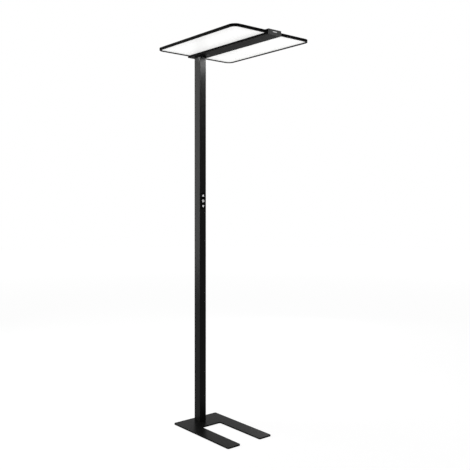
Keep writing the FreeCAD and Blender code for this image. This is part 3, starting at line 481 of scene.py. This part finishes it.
lens_low, lens_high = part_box("sensor_lens")
lens_centre = Vector(((lens_low.x + lens_high.x) / 2, (lens_low.y + lens_high.y) / 2, lens_low.z))
lens_depth = (lens_high.z - lens_low.z) / MILLIMETRE
lens_outline = [(0.0, 0.0), (0.03, 2.2), (0.28, 2.35), (0.28, 2.75), (0.06, 2.9), (0.14, 4.6),
                (0.40, 4.75), (0.40, 5.15), (0.17, 5.3), (0.28, 6.7), (0.55, 7.5),
                (1.0, LENS_RADIUS), (lens_depth - FLANGE_THICK, LENS_RADIUS),
                (lens_depth - FLANGE_THICK, FLANGE_RADIUS), (lens_depth, FLANGE_RADIUS),
                (lens_depth, 0.0)]
lens = turned(lens_outline, lens_centre, Vector((0, 0, 1)), Vector((1, 0, 0)), closed=False)
piece_from(lens, "stepped_lens", "sensor_dark", "sensor_lens")

# %% [markdown]
# ## Floor and background
#
# The photograph's background is plain white. The floor is a pale disc that glows a little
# for the camera, and the world beyond it is white. The glow rises with the distance from
# the lamp, so that the disc's rim doesn't show. Floor and world also show in gloss, so
# polished parts reflect the white that surrounds them. For all other light the world is a
# dim, even grey, so the black keeps its modelling. The floor still takes the lamp's soft
# shadow.

# %% Floor and world
WORLD_GREY = 0.16
WORLD_WHITE = 1.0
FLOOR_RADIUS = 14.0
FLOOR_SIDES = 96
FLOOR_ALBEDO = 0.25
FLOOR_GLOW = 0.87
FAR_GLOW = 0.97
RISE_START = 2.0
RISE_END = 9.0


def emptied(owner):
    """The node tree of a world or a material, with nothing in it."""
    owner.use_nodes = True
    owner.node_tree.nodes.clear()
    return owner.node_tree


def seen_or_mirrored(tree):
    """1 for what the camera sees, directly, in gloss or through glass, and 0 otherwise."""
    path = tree.nodes.new("ShaderNodeLightPath")
    total = path.outputs["Is Camera Ray"]
    for other in ("Is Glossy Ray", "Is Transmission Ray"):
        total = number(tree, "MAXIMUM", total, path.outputs[other])
    return total


world = bpy.data.worlds.new("studio")
bpy.context.scene.world = world
tree = emptied(world)
output = tree.nodes.new("ShaderNodeOutputWorld")
blend = tree.nodes.new("ShaderNodeMixShader")
tree.links.new(seen_or_mirrored(tree), blend.inputs["Fac"])
for place, level in ((1, WORLD_GREY), (2, WORLD_WHITE)):
    background = tree.nodes.new("ShaderNodeBackground")
    background.inputs["Color"].default_value = (level, level, level, 1)
    tree.links.new(background.outputs["Background"], blend.inputs[place])
tree.links.new(blend.outputs["Shader"], output.inputs["Surface"])

floor_mesh = bpy.data.meshes.new("studio_floor")
disc = bmesh.new()
bmesh.ops.create_circle(disc, cap_ends=True, segments=FLOOR_SIDES, radius=FLOOR_RADIUS)
disc.to_mesh(floor_mesh)
disc.free()
studio_floor = placed("studio_floor", floor_mesh)

floor_paint = bpy.data.materials.new("studio floor")
tree = emptied(floor_paint)
output = tree.nodes.new("ShaderNodeOutputMaterial")
paint = tree.nodes.new("ShaderNodeBsdfDiffuse")
paint.inputs["Color"].default_value = (FLOOR_ALBEDO, FLOOR_ALBEDO, FLOOR_ALBEDO, 1)
reach = tree.nodes.new("ShaderNodeVectorMath")
reach.operation = "LENGTH"
tree.links.new(tree.nodes.new("ShaderNodeTexCoord").outputs["Object"], reach.inputs[0])
rise = tree.nodes.new("ShaderNodeMapRange")
rise.inputs["From Min"].default_value = RISE_START
rise.inputs["From Max"].default_value = RISE_END
rise.inputs["To Min"].default_value = FLOOR_GLOW
rise.inputs["To Max"].default_value = FAR_GLOW
tree.links.new(reach.outputs["Value"], rise.inputs["Value"])
strength = number(tree, "MULTIPLY", seen_or_mirrored(tree), rise.outputs["Result"])
glow = tree.nodes.new("ShaderNodeEmission")
tree.links.new(strength, glow.inputs["Strength"])
both = tree.nodes.new("ShaderNodeAddShader")
tree.links.new(paint.outputs["BSDF"], both.inputs[0])
tree.links.new(glow.outputs["Emission"], both.inputs[1])
tree.links.new(both.outputs["Shader"], output.inputs["Surface"])
floor_mesh.materials.append(floor_paint)
print("floor radius", FLOOR_RADIUS, "m")

# %% [markdown]
# ## Studio lamps
#
# A black satin thing shows less of the light that falls on it than of what it mirrors. So
# each soft box stands where one face of the lamp mirrors it towards the camera. The tall one
# at the left makes the post's left face grey at the top and lets it fall to near black at
# the foot. The one in front lifts the beam's cap, and the one behind the foot's far prong.
# A large one overhead gives the floor its light, and the world's even grey fills the rest.
# Two pairs of lamps lie just under the lit sheets. The first is the light that the sheets
# cast. The second shows only in gloss: it is the bright patch at the top of the post's face,
# which is the left sheet's reflection.

# %% Lamps
def soft_box(name, place, aim, width, height, power):
    """A rectangular area lamp that points from its place to its aim."""
    data = bpy.data.lights.new(name, "AREA")
    data.shape = "RECTANGLE"
    data.size = width
    data.size_y = height
    data.energy = power
    lamp = placed(name, data)
    beam = Vector(aim) - Vector(place)
    lamp.location = place
    lamp.rotation_euler = beam.to_track_quat("-Z", "Y").to_euler()
    lamp.visible_camera = False
    print(name, "distance %.2f m" % beam.length)
    return lamp


# Each line holds a name, a place, an aim, a width and a height in metres, and the power in watts.
SOFT_BOXES = (
    ("left soft box", (-2.2, -1.65, 1.55), (0, 0, 1.55), 1.4, 2.1, 47),
    ("front soft box", (2.6, 2.2, 2.8), (0.577, 0, 1.94), 1.2, 0.9, 11),
    ("back soft box", (-1.7, 2.5, 1.14), (0.36, 0.1, 0), 0.9, 0.9, 4),
    ("overhead soft box", (-0.6, -0.4, 6.0), (0, 0, 0), 3.0, 3.0, 100),
)
for line in SOFT_BOXES:
    soft_box(*line)

DOWN = Vector((0, 0, -1))
UNDER_FRAME = 0.001
GLEAM_DROP = 0.002
WING_MARGIN = 0.02
WING_POWER = 0.5
GLEAM_POWER = 12.0

frame_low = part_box("left_frame")[0]
for side, sheet_name in ((-1, "right_diffuser"), (1, "left_diffuser")):
    wing_low, wing_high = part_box(sheet_name)
    width = wing_high.x - wing_low.x - WING_MARGIN
    height = wing_high.y - wing_low.y - WING_MARGIN
    middle = (wing_low + wing_high) / 2
    under = Vector((middle.x, middle.y, frame_low.z - UNDER_FRAME))
    soft_box("wing light %d" % side, under, under + DOWN, width, height, WING_POWER)
    lower = under + DOWN * GLEAM_DROP
    gleam = soft_box("wing gleam %d" % side, lower, lower + DOWN, width, height, GLEAM_POWER)
    gleam.visible_diffuse = False

# %% [markdown]
# ## Camera
#
# The camera was found by fitting the lamp's straight edges to the picture: it stands at the
# lamp's front right, 3.4 m away and 1.14 m up, looking level. The upright edges stay
# parallel because the lens is shifted down a little instead of being tilted.

# %% Camera
IMAGE_SIZE = 470
SENSOR = 36.0
FOCAL_PIXELS = 647.72
HORIZON_ROW = 204.868
MIDDLE_COLUMN = 234.911
CAMERA_PLACE = (2.75743, -2.04122, 1.144)
LEVEL = math.radians(90)
CAMERA_TURN = math.radians(50.425)

camera_data = bpy.data.cameras.new("camera")
camera_data.sensor_width = SENSOR
camera_data.lens = FOCAL_PIXELS * SENSOR / IMAGE_SIZE
camera_data.shift_x = (IMAGE_SIZE / 2 - MIDDLE_COLUMN) / IMAGE_SIZE
camera_data.shift_y = (HORIZON_ROW - IMAGE_SIZE / 2) / IMAGE_SIZE
camera = placed("camera", camera_data)
camera.location = CAMERA_PLACE
camera.rotation_euler = (LEVEL, 0, CAMERA_TURN)
bpy.context.scene.camera = camera
print("lens %.2f mm, shift" % camera_data.lens,
      rounded((camera_data.shift_x, camera_data.shift_y), 4))

# %% [markdown]
# ## Finish
#
# The view transform is set to Standard, so that a colour shows as it was written.

# %% View transform
bpy.context.scene.view_settings.view_transform = "Standard"
